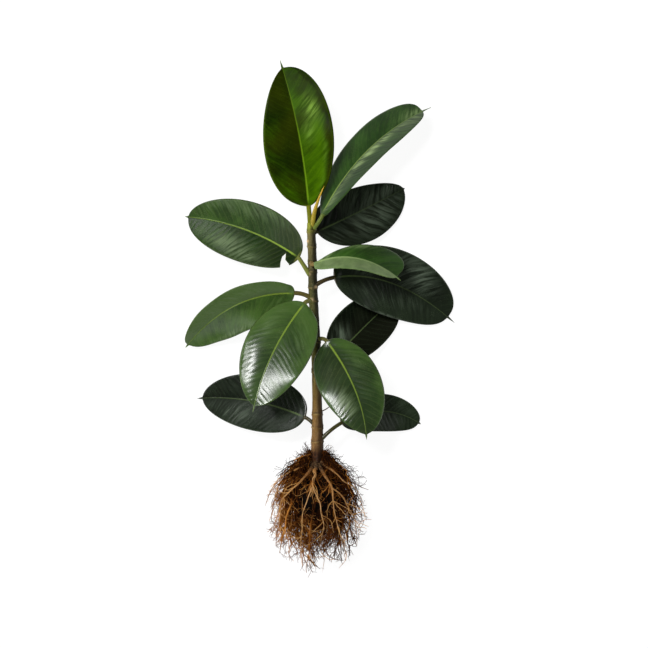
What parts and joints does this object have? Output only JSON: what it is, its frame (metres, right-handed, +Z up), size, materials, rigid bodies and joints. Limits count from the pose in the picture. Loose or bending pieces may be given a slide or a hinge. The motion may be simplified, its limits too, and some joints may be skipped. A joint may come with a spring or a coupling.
{
  "type": "bare-root rubber plant",
  "caption": "Young broad-leaved rubber plant lifted from its pot, lying on its back with its ball of bare roots.",
  "frame": {"origin": "middle of the underside of the bounding box, on the surface the plant lies on", "axes": "+Y from the root ball to the tip of the top leaf, +Z up from the surface, +X to the plant's right seen from above"},
  "size_m": [0.342, 0.6412, 0.1124],
  "materials": {
    "young_leaf": "waxy, olive green, slightly translucent young leaf",
    "leaf": "glossy waxy dark green with a lime midrib",
    "shaded_leaf": "waxy blackish green with a pale midrib",
    "stem": "smooth bark, green at the top and brown at the base",
    "sheath": "papery yellow bud sheath",
    "twig": "dry dark bark",
    "main_root": "matte tan root skin",
    "fine_roots": "matte brown fine roots with traces of soil"
  },
  "bodies": {
    "root": {"stem": "stem", "bud_sheath": "sheath", "side_twig": "twig", "leaf_top": "young_leaf", "leaf_top_right": "leaf", "leaf_back_right": "shaded_leaf", "leaf_upper_left": "leaf", "leaf_front_right": "leaf", "leaf_right": "shaded_leaf", "leaf_mid_left": "leaf", "leaf_front_left": "leaf", "leaf_behind_right": "shaded_leaf", "leaf_front_lower_right": "leaf", "leaf_lower_left": "shaded_leaf", "leaf_lower_right": "shaded_leaf", "root_centre": "main_root", "root_centre_left": "main_root", "root_centre_right": "main_root", "root_left": "main_root", "root_far_left": "main_root", "root_right": "main_root", "root_right_branch": "main_root", "root_far_right": "main_root", "root_back_left": "main_root", "root_back_middle": "main_root", "root_back_right": "main_root", "fibrous_roots": "fine_roots"}
  },
  "joints": []
}
